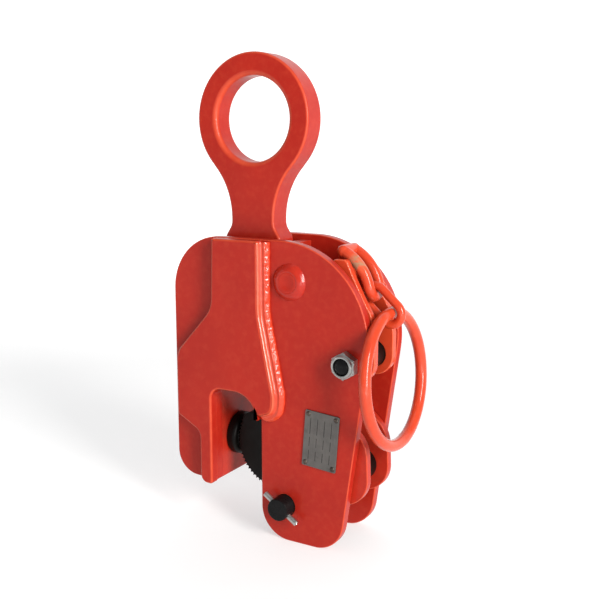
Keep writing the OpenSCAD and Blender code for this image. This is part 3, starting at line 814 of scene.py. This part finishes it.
def blank_rules():
    """Ruled lines of empty fields."""
    s = Shape()
    half, sunk, proud = 0.16, -0.02, 0.05
    for x in (-7.2, -2.6, 2.0, 6.6):
        for z0, z1 in ((3.0, 12.6), (-4.6, 1.0), (-12.6, -7.0)):
            corners = ((x - half, z0), (x + half, z0), (x + half, z1), (x - half, z1))
            s.add([on_name(a, b, out) for out in (sunk, proud) for a, b in corners],
                  [[0, 1, 2, 3], [4, 5, 6, 7], [0, 1, 5, 4], [1, 2, 6, 5], [2, 3, 7, 6], [3, 0, 4, 7]])
    s.build("nameplate_blank_rules", "shell", INK, (), 30)


rivet_heads()
blank_rules()


# ---------- lock lever, bail, chain and ring ----------

BAIL_END, RING_END = joint_at("chain_swing"), joint_at("ring_swing")
BAIL_CURVE, BAIL_LOW, BAIL_TOP = 28.9 * MM, math.radians(2), math.radians(66)
BAIL_MID = BAIL_END - Vector((math.cos(BAIL_LOW), 0, math.sin(BAIL_LOW))) * BAIL_CURVE


def lock_lever():
    """Two cheeks, the saddle between them that carries the bail, and the web behind it."""
    s = Shape()
    y0, y1 = box_y("lock_lever")
    cheek_t = 4.8 * MM
    web_y = y1 - cheek_t
    for a, b in ((y0, y0 + cheek_t), (web_y, y1)):
        s.prism(section("lock_lever", (a + b) / 2), a, b, 0.8 * MM)
    s.prism(section("lock_lever", 0.0), -3 * MM, 3 * MM, 0.25 * MM)
    s.prism(section("lock_lever", web_y - 3.3 * MM), -web_y - 0.3 * MM, web_y + 0.3 * MM, 0.2 * MM)
    s.build("lock_lever_painted", "lever", PAINT_RING, ["lock_lever"])


def on_bail(a, y):
    """Point on the bail's curve at angle a, at depth y."""
    return BAIL_MID + Vector((BAIL_CURVE * math.cos(a), y, BAIL_CURVE * math.sin(a)))


def pull_bail():
    """A cross bar on the lever's saddle, two curved legs and a round bend that holds the chain link."""
    leg_y, wire_r, bar_r, middle_half = 6.4 * MM, 3.3 * MM, 3.5 * MM, 3 * MM
    bend_from = BAIL_LOW + leg_y / BAIL_CURVE
    leg = np.linspace(BAIL_TOP, bend_from, 34)
    path = [on_bail(a, -leg_y) for a in leg]
    path += [on_bail(BAIL_LOW + leg_y * (1 - math.cos(a)) / BAIL_CURVE, leg_y * math.sin(a))
             for a in np.linspace(-math.pi / 2, math.pi / 2, 22)[1:-1]]
    path += [on_bail(a, leg_y) for a in leg[::-1]]
    s = Shape()
    s.tube(path, wire_r, 26)
    lo, hi = box_y("pull_bail")
    half = (hi - lo) / 2
    dome = np.linspace(0, math.pi / 2, 8)
    cap = [(bar_r * math.sin(a), -half + 2.6 * MM * (1 - math.cos(a))) for a in dome]
    cap.append((bar_r, -middle_half))
    s.lathe(cap + [(r, -h) for r, h in reversed(cap)], on_bail(BAIL_TOP, 0), (0, 1, 0), 40)
    bare_at, bare_half = 42, 12
    for i, v in enumerate(s.verts):
        around = math.degrees(math.atan2(v.z - BAIL_MID.z, v.x - BAIL_MID.x))
        s.edge[i] = math.exp(-((around - bare_at) / bare_half) ** 2) if v.y < 0 else 0.0
    s.build("pull_bail_bar", "lever", PAINT_BAIL, ["pull_bail"], 50)


def oval(mid, along, across, pitch, width, steps=14):
    """Centre line of an oval chain link."""
    straight = (pitch - width) / 2
    pts = []
    for way, first in ((1, 0.0), (-1, math.pi)):
        for k in range(steps + 1):
            a = first + math.pi * k / steps
            up = way * straight + width / 2 * math.sin(a)
            pts.append(mid + across * width / 2 * math.cos(a) + along * up)
        side = across * width / 2 * (-way)
        pts += [mid + side + along * way * straight * (1 - 2 * k / 5) for k in range(1, 5)]
    return pts


def chain_link():
    """Chain link of welded round bar: its butt weld swells in the middle of one side."""
    mid, wire_d, width, pitch = middle("chain_link"), 5 * MM, 12.8 * MM, 26.4 * MM
    along = (RING_END - BAIL_END).normalized()
    across = along.cross(Y_AXIS)
    s = Shape()
    s.tube(oval(mid, along, across, pitch, width), wire_d / 2, 24, closed=True)
    swell = mid + across * width / 2
    for i, v in enumerate(s.verts):
        d = (v - swell).dot(along)
        off = v - swell - along * d
        if off.length < wire_d and abs(d) < 3 * MM:
            s.verts[i] = v + off * 0.11 * math.exp(-(d / (0.8 * MM)) ** 2)
    s.build("chain_link_bar", "chain", PAINT_RING, ["chain_link"], 60)


def pull_ring():
    """Ring of round bar, very slightly uneven, with the seam of its butt weld."""
    mid, wire_r, count = middle("pull_ring"), 3.5 * MM, 144
    lo, hi = box_y("pull_ring")
    lean, path_r = (RING_END - mid).normalized(), (hi - lo) / 2 - wire_r

    def wire(t):
        seam = min(abs(t - 0.47), 1 - abs(t - 0.47))
        return wire_r * (1 + 0.035 * math.exp(-(seam / 0.004) ** 2)) + 0.02 * MM * math.sin(t * 44)

    turn = 2 * math.pi * np.arange(count) / count
    path = [mid + lean * path_r * math.cos(a) + Y_AXIS * path_r * math.sin(a) for a in turn]
    s = Shape()
    s.tube(path, wire, 32, closed=True)
    s.build("pull_ring_bar", "ring", PAINT_RING, ["pull_ring"], 60)


def lock_spring():
    """Tension spring that hooks over both pins."""
    low, top = middle("spring_anchor_pin"), middle("lever_spring_pin")
    low.y = top.y = 0
    axis = (top - low).normalized()
    side = axis.cross(Y_AXIS).normalized()
    coil_r, wire_r, hook_r, neck = 3.7 * MM, 0.8 * MM, 3.5 * MM, 3 * MM
    turns, steps = 24, 14
    coil_from, coil_to = hook_r + neck, (top - low).length - hook_r - neck
    hook = np.linspace(-math.pi * 1.35, 0.1, 18)
    path = [low + side * hook_r * math.cos(a) + axis * hook_r * math.sin(a) for a in hook]
    path.append(low + side * coil_r + axis * (hook_r + 1.2 * MM))
    for k in range(turns * steps + 1):
        a = 2 * math.pi * k / steps
        h = coil_from + (coil_to - coil_from) * k / (turns * steps)
        path.append(low + axis * h + side * coil_r * math.cos(a) + Y_AXIS * coil_r * math.sin(a))
    path.append(top + side * coil_r - axis * (hook_r + 1.2 * MM))
    path += [top + side * hook_r * math.cos(a) + axis * hook_r * math.sin(a) for a in -hook[::-1]]
    s = Shape()
    s.tube(path, wire_r, 10)
    o = s.build("lock_spring_coil", "shell", ZINC, ["lock_spring"], 60)
    # It no longer rides on a body.
    o.parent = None
    del o["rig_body"]
    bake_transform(o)


lock_lever()
pull_bail()
chain_link()
pull_ring()
lock_spring()


# ---------- floor, light and camera ----------

VIEW_YAW, VIEW_DOWN = math.radians(30.42), math.radians(10.18)


def studio_sweep():
    """Pale paper that lies under the clamp and curves up behind it, square to the camera."""
    floor_z, flat, bend_r, wall, half_w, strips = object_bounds()[0].z, 1.6, 1.2, 5.0, 7, 8
    profile = [(-6.0, 0.0), (flat, 0.0)]
    bend = np.linspace(0.1, math.pi / 2, 14)
    profile += [(flat + bend_r * math.sin(a), bend_r * (1 - math.cos(a))) for a in bend]
    profile += [(flat + bend_r, wall)]
    turn = Matrix.Rotation(VIEW_YAW, 4, "Z")
    row = strips + 1
    width = np.linspace(-half_w, half_w, row)
    verts = [turn @ Vector((x, y, z + floor_z)) for y, z in profile for x in width]
    faces = [[i * row + j, i * row + j + 1, (i + 1) * row + j + 1, (i + 1) * row + j]
             for i in range(len(profile) - 1) for j in range(strips)]
    f = Finish("studio_paper")
    paper = f.blend(f.cloud(3, 2), rgba(0.50, 0.50, 0.50), rgba(0.52, 0.52, 0.52))
    away = f.tree.nodes.new("ShaderNodeVectorMath")
    away.operation = "LENGTH"
    f.feed(away.inputs[0], f.coords)
    glow = f.ramp(away.outputs["Value"], 0.5, 1.3, 0.52, 0.95)
    f.done(paper, f.ramp(f.cloud(40), 0.3, 0.7, 0.7, 0.8), f.bump(f.cloud(400), 0.0001, 0.2),
           Specular_IOR_Level=0.1, Emission_Color=rgba(1, 1, 1), Emission_Strength=glow)
    me = bpy.data.meshes.new("studio_sweep")
    me.from_pydata([tuple(v) for v in verts], [], faces)
    me.shade_smooth()
    me.materials.append(f.material)
    sweep = bpy.data.objects.new("studio_sweep", me)
    bpy.context.scene.collection.objects.link(sweep)
    sweep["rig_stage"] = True


def softbox(name, at, aim, size, power, colour=(1, 1, 1)):
    """Rectangular lamp at a place, turned to face aim."""
    light = bpy.data.lights.new(name, "AREA")
    light.shape = "RECTANGLE"
    light.size, light.size_y = size
    light.energy, light.color = power, colour
    o = bpy.data.objects.new(name, light)
    bpy.context.scene.collection.objects.link(o)
    o.location = at
    o.rotation_euler = (Vector(aim) - Vector(at)).to_track_quat("-Z", "Y").to_euler()


def studio_light():
    """Key from the right, a weak top light, strips that draw highlights along edges, a low lamp and a pale
    room."""
    centre = middle("near_side_plate")
    centre.y = 0
    softbox("key", (1.36, -0.60, 0.36), centre, (0.34, 1.0), 33, (1.0, 0.985, 0.96))
    softbox("top", (0.0, 0.25, 1.7), centre, (1.5, 1.5), 4.5)
    softbox("strip", (0.42, -1.15, 0.12), centre, (0.1, 0.6), 0.25)
    softbox("edge_strip", (-0.95, -0.7, 0.1), centre, (0.07, 0.9), 0.8)
    softbox("low_fill", (0.5, -0.46, -0.2), (0.03, 0, -0.21), (0.22, 0.22), 0.6, (1.0, 0.93, 0.85))
    world = bpy.data.worlds.new("studio")
    world.use_nodes = True
    room = world.node_tree.nodes["Background"]
    room.inputs["Color"].default_value = rgba(0.95, 0.97, 1.0)
    room.inputs["Strength"].default_value = 0.28
    bpy.context.scene.world = world
    bpy.context.scene.view_settings.view_transform = "Standard"


def photo_camera():
    """Camera at the photograph's place and angle, with its angle of view."""
    data = bpy.data.cameras.new("photo_camera")
    data.sensor_width, data.lens = 36, 53.886
    data.clip_start, data.clip_end = 0.02, 50
    camera = bpy.data.objects.new("photo_camera", data)
    bpy.context.scene.collection.objects.link(camera)
    camera.location = (296.5 * MM, -456.2 * MM, -11.4 * MM)
    camera.rotation_euler = (math.pi / 2 - VIEW_DOWN, 0, VIEW_YAW)
    bpy.context.scene.camera = camera


studio_sweep()
studio_light()
photo_camera()
